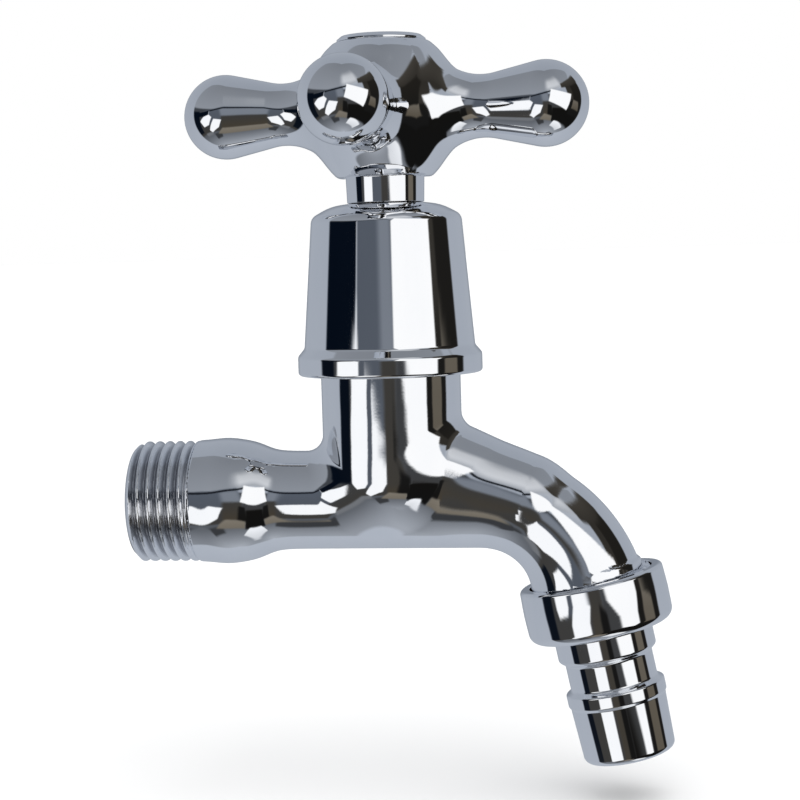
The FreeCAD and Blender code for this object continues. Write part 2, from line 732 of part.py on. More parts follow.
def cross_handle():
    """Cast cross handle: a waisted hub with four pear-shaped arms."""
    body = piece("cross_handle", HANDLE_AXIS)
    turned(body, "Hub", [
        ("0", "hub_foot"),
        ("hub_foot_radius", "hub_foot"),
        ("hub_waist_radius", "hub_foot + hub_cone_height", "hub_crown_radius"),
        ("hub_radius", "hub_top - hub_top_round", "hub_shoulder_radius"),
        ("hub_top_radius", "hub_top"),
        ("0", "hub_top")])
    slope = "arm_cone_angle * 1deg"
    throat = "(arm_waist_radius + arm_root_radius)"
    arm = turned(body, "Arm", [
        ("0", "0"),
        ("arm_reach + arm_ball_radius", "0", "arm_ball_radius"),
        (f"arm_reach - arm_ball_radius * sin({slope})", f"arm_ball_radius * cos({slope})"),
        (f"arm_waist_reach + arm_root_radius * sin({slope})",
         f"{throat} - arm_root_radius * cos({slope})", "0 - arm_root_radius"),
        ("arm_root_reach", f"{throat} - sqrt(arm_root_radius^2"
         " - (arm_waist_reach - arm_root_reach)^2)"),
        ("0", f"{throat} - sqrt(arm_root_radius^2 - (arm_waist_reach - arm_root_reach)^2)")],
        axis="H_Axis",
        place="placement(vector(0; arm_axis; 0); rotation(vector(0; 0; 1); 0deg))")
    patterned(body, "Arms", arm, ARMS)
    turned(body, "Recesses", [
        ("0", "hub_foot"),
        ("foot_recess_radius", "hub_foot"),
        ("foot_recess_radius", "recess_top"),
        ("0", "recess_top")], cut=True)
    turned(body, "CapRecess", [
        ("0", "spline_top"),
        ("screw_radius + slack", "spline_top"),
        ("screw_radius + slack", "screw_seat"),
        ("cap_recess_radius", "screw_seat"),
        ("cap_recess_radius", "hub_top"),
        ("0", "hub_top")], cut=True)
    star = outline(body, "SplineOutline",
                   serration("spline_radius + fit", "spline_radius - spline_depth + fit",
                             SPLINE_TEETH),
                   "XY_Plane", raised("spline_top + slack"))
    pocketed(body, "SplineSocket", star,
             "spline_top + slack - recess_top")


def handle_screw():
    """Slotted pan head screw that clamps the handle to the spindle."""
    body = piece("handle_screw", HANDLE_AXIS)
    turned(body, "Screw", [
        ("0", "screw_foot + slack"),
        ("screw_radius", "screw_foot + slack"),
        ("screw_radius", "head_seat"),
        ("screw_head_radius", "head_seat"),
        ("screw_head_radius", "head_seat + screw_rim_height", "screw_dome_radius"),
        ("screw_face_radius", "head_seat + screw_head_height"),
        ("0", "head_seat + screw_head_height")])
    slot = outline(body, "SlotOutline", rectangle(
        "0 - screw_head_radius - slack", "0 - screw_slot_width / 2",
        "screw_head_radius + slack", "screw_slot_width / 2"),
        "XY_Plane", raised("head_seat + screw_head_height"))
    pocketed(body, "Slot", slot, "screw_slot_depth")


def index_cap():
    """Round cap snapped into the top of the hub."""
    body = piece("index_cap", HANDLE_AXIS)
    plug = "cap_recess_radius - slack"
    face = "(cap_radius - cap_bevel)"
    crown = "cap_crown_height"
    turned(body, "Cap", [
        (plug + " - cap_wall", "hub_top - cap_plug_height"),
        (plug, "hub_top - cap_plug_height"),
        (plug, "hub_top"),
        ("cap_radius", "hub_top"),
        ("cap_radius", "hub_top + cap_edge_height"),
        (face, f"hub_top + cap_rise - {crown}", f"({face}^2 + {crown}^2) / (2 * {crown})"),
        ("0", "hub_top + cap_rise"),
        ("0", f"hub_top + cap_rise - {crown} - cap_wall"),
        (plug + " - cap_wall", f"hub_top + cap_rise - {crown} - cap_wall")])


def union_nut():
    """Plain round union nut that pulls the nozzle up to the spout."""
    body = piece("union_nut", NOZZLE_AXIS)
    turned(body, "Nut", [
        ("outlet_thread_radius + fit", "0"),
        ("union_radius - union_round", "0", "union_round"),
        ("union_radius", "union_round"),
        ("union_radius", "union_height - union_round", "union_round"),
        ("union_radius - union_round", "union_height"),
        ("barrel_radius + slack", "union_height"),
        ("barrel_radius + slack", "nut_web"),
        ("outlet_thread_radius + fit", "nut_web")])


def hose_nozzle():
    """Turned nozzle: flange, barrel, grip groove, lip and rounded tip for the hose."""
    body = piece("hose_nozzle", NOZZLE_AXIS)
    turned(body, "Nozzle", [
        ("nozzle_bore_radius", "flange_face"),
        ("outlet_thread_radius - slack", "flange_face"),
        ("outlet_thread_radius - slack", "nut_web"),
        ("barrel_radius", "nut_web"),
        ("barrel_radius", "barrel_end - (barrel_radius - groove_radius)"),
        ("groove_radius", "barrel_end"),
        ("groove_radius", "groove_end"),
        ("lip_radius", "groove_end + lip_chamfer"),
        ("lip_radius", "lip_end - lip_chamfer"),
        ("tip_radius", "lip_end"),
        ("tip_end_radius", "nozzle_end - tip_round", "tip_round"),
        ("tip_end_radius - tip_round", "nozzle_end"),
        ("nozzle_bore_radius", "nozzle_end")])


tap_body()
ring("housing_gasket", "socket_bore_radius", "socket_radius - slack", "socket_rim", "flange_foot")
headwork_housing()
ring("seat_seal", "seal_inner_radius", "disc_bore_radius - slack", "seat_height", "fixed_disc_foot")
ring("seal_support_ring", "seal_inner_radius - support_wall", "seal_inner_radius",
     "fixed_disc_foot - support_height", "fixed_disc_foot")
fixed_disc()
moving_disc()
spindle()
ring("friction_washer", "spindle_radius + fit", "disc_radius", "head_top + film", "disc_bore_top")
seal_ring("lower_spindle_seal", "lower_ring")
seal_ring("upper_spindle_seal", "upper_ring")
spindle_clip()
bell_cover()
neck_sleeve()
cross_handle()
ring("lock_washer", "screw_radius + slack", "lock_washer_radius",
     "screw_seat", "head_seat")
handle_screw()
index_cap()
union_nut()
hose_nozzle()
ring("nozzle_washer", "washer_bore_radius", "outlet_thread_radius - slack",
     "outlet_thread_length", "flange_face", NOZZLE_AXIS)

doc.recompute()
for item in doc.Objects:
    if "Invalid" in item.State or "Error" in item.State:
        raise RuntimeError(f"{item.Label} failed: {item.State}")
for body in pieces:
    if body.Shape.isNull() or not body.Shape.isValid():
        raise RuntimeError(f"{body.Label} has no valid solid")
    print(f"{body.Label}: {len(body.Shape.Solids)} solid, {body.Shape.Volume:.1f} mm3")

os.makedirs("parts", exist_ok=True)
for body in pieces:
    body.Shape.exportStep(f"parts/{body.Label}.step")
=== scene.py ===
import json
import math
import bpy
import numpy as np
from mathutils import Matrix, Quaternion, Vector


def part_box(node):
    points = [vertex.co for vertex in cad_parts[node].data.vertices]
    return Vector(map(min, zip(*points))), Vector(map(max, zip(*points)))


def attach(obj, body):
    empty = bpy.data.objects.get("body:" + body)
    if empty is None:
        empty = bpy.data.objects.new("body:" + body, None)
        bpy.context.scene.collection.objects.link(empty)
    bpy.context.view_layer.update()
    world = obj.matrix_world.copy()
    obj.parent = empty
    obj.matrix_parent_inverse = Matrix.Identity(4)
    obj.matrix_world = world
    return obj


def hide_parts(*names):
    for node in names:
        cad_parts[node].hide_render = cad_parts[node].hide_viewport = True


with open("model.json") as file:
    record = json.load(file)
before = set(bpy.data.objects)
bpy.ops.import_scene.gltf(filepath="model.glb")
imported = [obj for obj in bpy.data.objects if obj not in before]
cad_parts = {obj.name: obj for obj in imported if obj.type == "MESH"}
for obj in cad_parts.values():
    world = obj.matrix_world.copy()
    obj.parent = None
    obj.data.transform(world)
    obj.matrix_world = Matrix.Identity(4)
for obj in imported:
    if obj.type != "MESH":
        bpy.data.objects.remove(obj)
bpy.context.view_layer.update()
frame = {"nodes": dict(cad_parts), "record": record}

# Cast body
# One brass casting: the collar behind the wall thread, the level tube, the upright valve socket
# and the shouldered spout that bends down. It is ground smooth by hand, then nickel and chrome
# plated, so long reflections wander a little over it.
MM = 0.001
VALVE_X = (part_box("bell_cover")[0].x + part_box("bell_cover")[1].x) / 2 / MM
TUBE_RADIUS = 8.45
COLLAR_GAIN = 2.05
COLLAR_SWELL = 0.38
COLLAR_SWELL_X = 5.0
COLLAR_SWELL_LENGTH = 3.2
TAPER_X = 11.6
TAPER_SOFTNESS = 1.25
BEND_X = VALVE_X + 14.8
BEND_RADIUS = 18.2
BEND_TURN = math.radians(75.3)
MOUTH_GAIN = 1.05
TILT = math.radians(11.5)
OUTLET_RADIUS = 10.42
OUTLET_NECK = 9.0
OUTLET_LENGTH = 4.5
OUTLET_BORE = 6.0
NECK_START = -1.5
SCREW_START = 1.0
SPOUT_OVERRUN = 1.0
SOCKET_RADIUS = 11.9
SOCKET_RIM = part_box("housing_gasket")[0].z / MM
BOWL_RADIUS = 7.5
BOWL_TOP = 4.0
POCKET_RADIUS = 7.4
POCKET_END = 20.5
SHOULDER_TOP = np.array([VALVE_X + 5.0, 5.15])
SHOULDER_FOOT = np.array([VALVE_X + 22.2, -0.3])
SHOULDER_RADII = (10.2, 7.7)
SOCKET_FILLETS = (3.2, 1.6)
SHOULDER_FILLET = 1.8
CAST_EDGE = 0.4
FINE_EDGE = 0.3
BORE_EDGE = 0.25
CAST_STEP = 0.45
CAST_LOW = (-1.2, -13.2, -25)
CAST_HIGH = (80, 13.2, SOCKET_RIM + 1)
FLOW = np.array([math.sin(TILT), 0.0, -math.cos(TILT)])
MOUTH = np.array([BEND_X + BEND_RADIUS * math.sin(BEND_TURN), 0,
                  BEND_RADIUS * (math.cos(BEND_TURN) - 1)])
MOUTH_WAY = np.array([math.cos(BEND_TURN), 0, -math.sin(BEND_TURN)])
FAR_INSIDE = -9.0
OUTLET_OFFSET = 0.8
NUT = MOUTH + OUTLET_OFFSET * np.array([math.cos(TILT), 0, math.sin(TILT)])


def joined(first, second, fillet):
    """Two solids made one, with a hollow round of that radius where they meet."""
    near = np.hypot(np.maximum(fillet - first, 0), np.maximum(fillet - second, 0))
    return np.maximum(fillet, np.minimum(first, second)) - near


def trimmed(solid, keep, edge):
    """What lies in both solids, with the edge between them rounded to that radius."""
    past = np.hypot(np.maximum(solid + edge, 0), np.maximum(keep + edge, 0))
    return np.minimum(-edge, np.maximum(solid, keep)) + past


def along_and_aside(point, start, way):
    """How far a point lies along an axis from its start, and how far it is from the axis."""
    along = (point - start) @ way
    return along, np.linalg.norm(point - start - np.outer(along, way), axis=1)


def waterway_distance(point):
    """How far a point lies outside the tube and its bend.

    Before the bend the tube's axis is level, round the bend it is an arc, and a little past it
    the spout is cut square. The distance is that to the axis less the radius there: the collar
    is a step with soft ends and a low swell, and the spout grows with the cube of its turn.
    """
    x, y, z = point.T
    fall = 1 / (1 + np.exp((x - TAPER_X) / TAPER_SOFTNESS))
    swell = np.exp(-((x - COLLAR_SWELL_X) / COLLAR_SWELL_LENGTH) ** 2)
    level = np.hypot(y, z) - TUBE_RADIUS - COLLAR_GAIN * fall - COLLAR_SWELL * swell
    turn = np.arctan2(x - BEND_X, z + BEND_RADIUS)
    share = np.clip(turn / BEND_TURN, 0, 1)
    out = np.hypot(x - BEND_X, z + BEND_RADIUS) - BEND_RADIUS
    bend = np.hypot(out, y) - TUBE_RADIUS - MOUTH_GAIN * share ** 3
    past, aside = along_and_aside(point, MOUTH, MOUTH_WAY)
    end = aside - TUBE_RADIUS - MOUTH_GAIN
    spout = np.where(x < BEND_X, level, np.where(past < 0, bend, end))
    return trimmed(spout, np.where(x < BEND_X, FAR_INSIDE, past - SPOUT_OVERRUN), CAST_EDGE)


def outlet_distance(point):
    """How far a point lies outside the outlet's plain neck and its threaded end in the nut."""
    along, aside = along_and_aside(point, NUT, FLOW)
    neck = trimmed(aside - OUTLET_NECK, NECK_START - along, FINE_EDGE)
    screw = trimmed(aside - OUTLET_RADIUS, SCREW_START - along, CAST_EDGE)
    return trimmed(np.minimum(neck, screw), along - OUTLET_LENGTH, FINE_EDGE)


def casting(point):
    """The field of the whole casting: below zero inside it, above zero outside.

    The tube, the shoulder cone, the bowl-ended socket and the outlet are joined with hollow
    rounds. The socket's fillet goes evenly from the wall's side to the spout's. Then the socket's
    rim and the inlet's end are cut flat, and the two bores that show are taken out.
    """
    x, y, z = point.T
    slope = SHOULDER_FOOT - SHOULDER_TOP
    flat = point[:, [0, 2]] - SHOULDER_TOP
    part = np.clip(flat @ slope / (slope @ slope), 0, 1)
    off = np.hypot(np.linalg.norm(flat - np.outer(part, slope), axis=1), y)
    shoulder = off - SHOULDER_RADII[0] - (SHOULDER_RADII[1] - SHOULDER_RADII[0]) * part
    round_z = np.hypot(x - VALVE_X, y)
    past = np.maximum(round_z - SOCKET_RADIUS + BOWL_RADIUS, 0)
    bowl = np.hypot(past, BOWL_TOP - z) - BOWL_RADIUS
    socket = np.where(z < BOWL_TOP, bowl, round_z - SOCKET_RADIUS)
    solid = joined(waterway_distance(point), shoulder, SHOULDER_FILLET)
    share = np.clip((x - VALVE_X) / SOCKET_RADIUS / 2 + 0.5, 0, 1)
    fillet = SOCKET_FILLETS[0] + (SOCKET_FILLETS[1] - SOCKET_FILLETS[0]) * share
    solid = joined(solid, socket, fillet)
    solid = joined(solid, outlet_distance(point), CAST_EDGE)
    solid = trimmed(solid, z - SOCKET_RIM, CAST_EDGE)
    solid = trimmed(solid, -x, FINE_EDGE)
    bore = np.maximum(np.hypot(y, z) - POCKET_RADIUS, x - POCKET_END)
    along, aside = along_and_aside(point, NUT, FLOW)
    outlet = np.maximum(aside - OUTLET_BORE, -along)
    return trimmed(trimmed(solid, -bore, BORE_EDGE), -outlet, BORE_EDGE)


# in the first rounds the points are evened out and then slid, in the last they are only slid
SKIN_ROUNDS = (True, True, True, True, False, False)
SKIN_SLIDES = 3
LEAST_SLOPE = 0.05
SHARP_ANGLE = math.radians(35)


def slope_of(field, point, reach=0.01):
    """The field's slope at each point, from its values a little to both sides."""
    steps = np.eye(3) * reach
    return np.stack([field(point + s) - field(point - s) for s in steps], axis=1) / (2 * reach)


def skin(field, low, high, step):
    """The closed skin on which a field is zero: points, four-sided faces and outward normals.

    A lattice of cells is laid over the box. Each cell that the skin crosses holds one point, and
    the four cells round each crossed lattice edge make a face. The points are evened out by
    moving each to the middle of its neighbours, and slid along the slope until the field is zero.
    """
    axes = [np.arange(a, b + step, step) for a, b in zip(low, high)]
    lattice = np.stack(np.meshgrid(*axes, indexing="ij"), axis=-1)
    inside = (field(lattice.reshape(-1, 3)) < 0).reshape(lattice.shape[:3])
    cells = np.array(inside.shape) - 1
    filled = sum(inside[tuple(slice(c, c + n) for c, n in zip(corner, cells))].astype(int)
                 for corner in np.ndindex(2, 2, 2))
    crossed = (filled > 0) & (filled < 8)
    number = np.full(cells, -1)
    number[crossed] = np.arange(crossed.sum())
    point = (np.argwhere(crossed) + 0.5) * step + np.array(low)
    faces = []
    for axis in range(3):
        start, end = [slice(1, -1)] * 3, [slice(1, -1)] * 3
        start[axis], end[axis] = slice(0, -1), slice(1, None)
        change = inside[tuple(start)] != inside[tuple(end)]
        ring = []
        for right, ahead in ((0, 0), (1, 0), (1, 1), (0, 1)):
            cell = np.argwhere(change)
            cell[:, (axis + 1) % 3] += right
            cell[:, (axis + 2) % 3] += ahead
            ring.append(number[tuple(cell.T)])
        ring = np.stack(ring, axis=1)
        leaving = inside[tuple(start)][change]
        faces.append(np.where(leaving[:, None], ring, ring[:, ::-1]))
    faces = np.concatenate(faces)
    edge = np.concatenate([faces[:, [a, (a + 1) % 4]] for a in range(4)])
    for even in SKIN_ROUNDS:
        if even:
            total, count = np.zeros_like(point), np.zeros(len(point))
            np.add.at(total, edge[:, 0], point[edge[:, 1]])
            np.add.at(count, edge[:, 0], 1)
            point = total / count[:, None]
        for _ in range(SKIN_SLIDES):
            slope = slope_of(field, point)
            steep = np.maximum((slope ** 2).sum(1), LEAST_SLOPE)
            point = point - slope * (field(point) / steep)[:, None]
    slope = slope_of(field, point)
    return point, faces, slope / np.linalg.norm(slope, axis=1)[:, None]


def settle(name, point, faces, normal, body, node, finish):
    """Put a skin given in millimetres into the scene, riding on its body in place of its node."""
    mesh = bpy.data.meshes.new(name)
    mesh.from_pydata((point * MM).tolist(), [], [face.tolist() for face in faces])
    mesh.shade_smooth()
    if normal is None:
        mesh.set_sharp_from_angle(angle=SHARP_ANGLE)
    else:
        mesh.normals_split_custom_set_from_vertices(normal.tolist())
    mesh.materials.append(finish)
    made = bpy.data.objects.new(name, mesh)
    bpy.context.scene.collection.objects.link(made)
    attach(made, body)
    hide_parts(node)


class Shade:
    """A number over a surface. Arithmetic on it adds Math nodes to its finish."""

    def __init__(self, finish, socket):
        self.finish, self.socket = finish, socket

    def maths(self, operation, *values):
        sockets = dict(enumerate(values))
        return self.finish.node("ShaderNodeMath", {"operation": operation}, sockets)

    def __add__(self, other):
        return self.maths("ADD", self, other)

    def __sub__(self, other):
        return self.maths("SUBTRACT", self, other)

    def __rsub__(self, other):
        return self.maths("SUBTRACT", other, self)

    def __mul__(self, other):
        return self.maths("MULTIPLY", self, other)

    __radd__, __rmul__ = __add__, __mul__

    def __pow__(self, other):
        return self.maths("POWER", self, other)


class Finish:
    """A material, and the one method that adds any node to it."""

    def __init__(self, name):
        self.material = bpy.data.materials.new(name)
        self.material.use_nodes = True
        self.tree = self.material.node_tree
        self.shader = self.tree.nodes["Principled BSDF"]

    def node(self, kind, settings, sockets, out=0):
        """Add a node: its settings first, then a value or a link for each socket."""
        made = self.tree.nodes.new(kind)
        for key, value in settings.items():
            setattr(made, key, value)
        self.feed(made, sockets)
        return Shade(self, made.outputs[out])

    def feed(self, made, sockets):
        for key, value in sockets.items():
            if isinstance(value, Shade):
                self.tree.links.new(value.socket, made.inputs[key])
            else:
                made.inputs[key].default_value = value

    def noise(self, scale, detail=2.0, stretch=(1, 1, 1)):
        """Clouds of that many to the metre, drawn out along an axis by a small stretch number."""
        place = self.node("ShaderNodeTexCoord", {}, {}, "Object")
        drawn = self.node("ShaderNodeMapping", {}, {"Vector": place, "Scale": stretch})
        return self.node("ShaderNodeTexNoise", {}, {
            "Vector": drawn, "Scale": scale, "Detail": detail})

    def blend(self, factor, first, second):
        """A colour between two colours by a number."""
        colours = {0: factor, 6: first, 7: second}
        return self.node("ShaderNodeMix", {"data_type": "RGBA"}, colours, 2)

    def bump(self, height, distance):
        return self.node("ShaderNodeBump", {}, {"Height": height, "Distance": distance}, "Normal")


CHROME_DARK = (0.86, 0.875, 0.905, 1)
CHROME_LIGHT = (0.93, 0.935, 0.945, 1)
RIPPLES_PER_METRE = 55
WIPES_PER_METRE = 260
GRIT_PER_METRE = 2600
WIPE_HAZE = 0.03
GRIT_HAZE = 0.012
GRIT_HEIGHT = 0.006
WIPE_STRETCH = (1, 1, 0.25)
CAST_RIPPLE = 0.00022
CAST_HAZE = 0.022


def chrome(name, ripple, haze, stretch=(1, 1, 1)):
    """Bright plating: cool grey, faint wipe haze, and ripples of that height in metres."""
    finish = Finish(name)
    cloud = finish.noise(RIPPLES_PER_METRE, 2.0, stretch)
    wipe = finish.noise(WIPES_PER_METRE, 3.0, WIPE_STRETCH)
    grit = finish.noise(GRIT_PER_METRE, 2.0)
    finish.feed(finish.shader, {
        "Base Color": finish.blend(wipe, CHROME_DARK, CHROME_LIGHT),
        "Metallic": 1.0,
        "Roughness": haze + WIPE_HAZE * wipe ** 2.0 + GRIT_HAZE * grit,
        "Normal": finish.bump(cloud + GRIT_HEIGHT * grit, ripple)})
    return finish.material


cast_chrome = chrome("cast_chrome", CAST_RIPPLE, CAST_HAZE)
point, faces, normal = skin(casting, CAST_LOW, CAST_HIGH, CAST_STEP)
settle("tap_casting", point, faces, normal, "fixed_tap", "tap_body", cast_chrome)

# Wall thread
# The casting's inlet end is cut with a right-handed pipe thread of 14 turns to the inch, its
# crests and roots rounded. The thread runs out at the collar and is chamfered at the free end,
# and the inlet's bore narrows behind it.
THREAD_PITCH = 1.814
THREAD_CREST = 10.44
THREAD_DEPTH = 1.16
THREAD_LENGTH = -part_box("tap_body")[0].x / MM
THREAD_RUN_OUT = 0.9
THREAD_CHAMFER = 1.0
THREAD_ROWS = 28
THREAD_COLUMNS = 192
FLANK_GAIN = 1.28
ROOT_WIDTH = 0.14
RAMP_SHARE = 0.45
RUN_OUT_RADIUS = THREAD_CREST - 0.2
MOUTH_RADIUS = 6.6
MOUTH_EDGE = 0.3
SPIGOT_RADIUS = 7.1
SPIGOT_END = -20.0
SPIGOT_WALL = 0.6
BORE_STEP = -11.0
BORE_CONE = 2
BORE_RADIUS = 4.6
# Painted shade in the thread's grooves: the roots are coloured darker than the crests, and the
# shade fades out this far below the crests.
CREST_FULL_DEPTH = 0.5
THREAD_ROOT_SHADE = (0.4, 0.41, 0.44, 1)
THREAD_CREST_TONE = (0.92, 0.93, 0.95, 1)
THREAD_HAZE = 0.2
CREST_SHINE = 0.12
SCUFFS_PER_METRE = 900
SCUFF_STRETCH = (0.4, 1, 1)
SCUFF_HAZE = 0.06
SCUFF_HEIGHT = 0.00003
LEAST_CREST_SHARE = 0.8
SCUFF_WEAR = 0.4


def turned(rows, turn_count, place, loop):
    """Turn rows of (radius, height) about an axis; a radius may differ all the way round.

    Each row is a ring of points at equal turns. Rows follow the outline with its outside on the
    right, and a row of no radius at either end is one point with a fan of three-sided faces.
    """
    radius, height = rows
    swing = np.arange(turn_count) * (2 * math.pi / turn_count)
    ring = np.stack([radius * np.cos(swing), radius * np.sin(swing), height + 0 * swing], axis=-1)
    poles = [i for i in (0, len(ring) - 1) if not loop]
    body = ring[1:-1] if poles else ring
    point = body.reshape(-1, 3)
    here = np.arange(len(body) * turn_count).reshape(len(body), turn_count)
    onward = np.roll(here, -1, axis=0) if loop else here[1:]
    start = here if loop else here[:-1]
    quads = np.stack([start, np.roll(start, -1, 1), np.roll(onward, -1, 1), onward], -1)
    faces = list(quads.reshape(-1, 4))
    if poles:
        first, last = len(point), len(point) + 1
        point = np.concatenate([point, ring[[0, -1], 0]])
        low, high = here[0], here[-1]
        faces += list(np.stack([np.full(turn_count, first), np.roll(low, -1), low], 1))
        faces += list(np.stack([high, np.roll(high, -1), np.full(turn_count, last)], 1))
    return place(point), faces


def wall_place(point):
    """Lay a turned piece along the wall axis, its height running out of the wall's thread."""
    return np.stack([-point[:, 2], point[:, 1], point[:, 0]], axis=1)


def thread_rows():
    """Rows of the threaded inlet, from the hidden end round the outside and back down its bore.

    On the thread the radius is the crest less a rounded wave of the turn: a ramp up and down
    once a pitch, eased at crest and root, whose start moves one pitch for each turn round.
    """
    step = THREAD_PITCH / THREAD_ROWS
    height = np.arange(step, THREAD_LENGTH - step / 2, step)[:, None]
    phase = (height / THREAD_PITCH - np.arange(THREAD_COLUMNS) / THREAD_COLUMNS) % 1
    ramp = np.clip(FLANK_GAIN * (1 - np.abs(2 * phase - 1)) - ROOT_WIDTH, 0, 1)
    eased = ramp ** 2 * (3 - 2 * ramp)
    depth = THREAD_DEPTH * np.clip(height / THREAD_RUN_OUT, 0, 1)
    wave = depth * (RAMP_SHARE * ramp + (1 - RAMP_SHARE) * eased)
    chamfer = THREAD_CREST - THREAD_CHAMFER + np.clip(THREAD_LENGTH - height, 0, None)
    wound = np.minimum(THREAD_CREST - wave, chamfer)
    level = np.ones(THREAD_COLUMNS)
    plain = [(0, SPIGOT_END), (SPIGOT_RADIUS, SPIGOT_END), (SPIGOT_RADIUS, 0), (RUN_OUT_RADIUS, 0)]
    back = [(THREAD_CREST - THREAD_CHAMFER, THREAD_LENGTH),
            (MOUTH_RADIUS + MOUTH_EDGE, THREAD_LENGTH),
            (MOUTH_RADIUS, THREAD_LENGTH - MOUTH_EDGE),
            (MOUTH_RADIUS, BORE_STEP),
            (BORE_RADIUS, BORE_STEP - BORE_CONE),
            (BORE_RADIUS, SPIGOT_END + SPIGOT_WALL),
            (0, SPIGOT_END + SPIGOT_WALL)]
    radius = np.concatenate([[level * r for r, _ in plain], wound, [level * r for r, _ in back]])
    heights = np.concatenate([[up for _, up in plain], height[:, 0], [up for _, up in back]])
    return radius, heights[:, None]


thread = Finish("thread_chrome")
place = thread.node("ShaderNodeTexCoord", {}, {}, "Object")
across = thread.node("ShaderNodeVectorMath", {"operation": "MULTIPLY"}, {0: place, 1: (0, 1, 1)})
radius = thread.node("ShaderNodeVectorMath", {"operation": "LENGTH"}, {0: across}, "Value")
# Painted shade: the colour goes from the dark root tone in the grooves to the crest tone near the
# crests, varied by scuffs as real wear, and the crests are glossier.
crest = thread.node("ShaderNodeMapRange", {}, {
    "Value": radius,
    "From Min": (THREAD_CREST - THREAD_DEPTH) * MM,
    "From Max": (THREAD_CREST - CREST_FULL_DEPTH) * MM})
scuff = thread.noise(SCUFFS_PER_METRE, 3.0, SCUFF_STRETCH)
shade_and_scuff = crest * (LEAST_CREST_SHARE + SCUFF_WEAR * scuff)
thread.feed(thread.shader, {
    "Base Color": thread.blend(shade_and_scuff, THREAD_ROOT_SHADE, THREAD_CREST_TONE),
    "Metallic": 1.0,
    "Roughness": THREAD_HAZE - CREST_SHINE * crest + SCUFF_HAZE * scuff,
    "Normal": thread.bump(scuff, SCUFF_HEIGHT)})
thread_chrome = thread.material
point, faces = turned(thread_rows(), THREAD_COLUMNS, wall_place, loop=False)
settle("wall_thread", point, faces, None, "fixed_tap", "tap_body", thread_chrome)

# Headwork
# The working parts that the bell hides: a turned brass housing and spindle, two lapped ceramic
# discs, rubber seals, a fibre gasket, and plastic and spring steel washers. Their solids stay as
# they are, each with the finish of its own stuff.
SPECKS_PER_CLOUD = 9
CLOUD_HAZE = 0.15
SPECK_SHINE = 0.08
CLOUD_HEIGHT = 0.5


def plain_finish(name, dark, light, scale, gloss, metallic, grain, stretch=(1, 1, 1)):
    """A colour that wanders between two tones, with its own gloss and grain."""
    finish = Finish(name)
    cloud = finish.noise(scale, 4.0, stretch)
    speck = finish.noise(scale * SPECKS_PER_CLOUD, 2.0, stretch)
    finish.feed(finish.shader, {
        "Base Color": finish.blend(cloud, dark, light),
        "Metallic": metallic,
        "Roughness": gloss + CLOUD_HAZE * cloud - SPECK_SHINE * speck,
        "Normal": finish.bump(speck + CLOUD_HEIGHT * cloud, grain)})
    return finish.material


FINISHES = {
    "brass": plain_finish("turned_brass", (0.62, 0.42, 0.15, 1), (0.82, 0.62, 0.28, 1),
                          180, 0.22, 1.0, 0.00002, (0.2, 0.2, 14)),
    "spring_steel": plain_finish("spring_steel", (0.42, 0.42, 0.44, 1), (0.62, 0.62, 0.63, 1),
                                 300, 0.25, 1.0, 0.00001, (1, 1, 8)),
    "ceramic": plain_finish("lapped_ceramic", (0.86, 0.84, 0.8, 1), (0.94, 0.93, 0.91, 1),
                            260, 0.12, 0.0, 0.000002),
    "black_rubber": plain_finish("black_rubber", (0.02, 0.02, 0.022, 1), (0.06, 0.06, 0.065, 1),
                                 500, 0.6, 0.0, 0.00002),
    "grey_fibre": plain_finish("grey_fibre", (0.22, 0.2, 0.18, 1), (0.42, 0.4, 0.37, 1),
                               900, 0.75, 0.0, 0.00005, (1, 1, 0.1)),
    "white_plastic": plain_finish("white_plastic", (0.8, 0.8, 0.78, 1), (0.9, 0.9, 0.88, 1),
                                  150, 0.35, 0.0, 0.000005),
}
for part in frame["record"]["subparts"]:
    if part["material_slot"] in FINISHES:
        kept = frame["nodes"][part["node"]]
        kept.data.materials.clear()
        kept.data.materials.append(FINISHES[part["material_slot"]])

# Bell cover
# A spun brass bell, chromed, that drops over the headwork. A plain skirt with softened edges
# runs round its foot, its wall leans in towards the top, and a low crown closes it round the neck.
BELL_LOW, BELL_HIGH = (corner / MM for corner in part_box("bell_cover"))
SKIRT_RADIUS = (BELL_HIGH.x - BELL_LOW.x) / 2
SKIRT_HEIGHT = 4.1
BELL_WALL = 1.3
BELL_FOOT_RADIUS = 14.6
BELL_HEAD_RADIUS = 12.85
NECK_BORE = 5.7
LATHE_COLUMNS = 224
LEAST_ROUND = 0.06
SIDE_SHARE = 0.49
ARC_STEP = math.radians(7)
LEAST_TANGENT = 1e-6
LATHE_RIPPLE = 0.00004
LATHE_HAZE = 0.02
LATHE_STRETCH = (0.6, 0.6, 0.25)


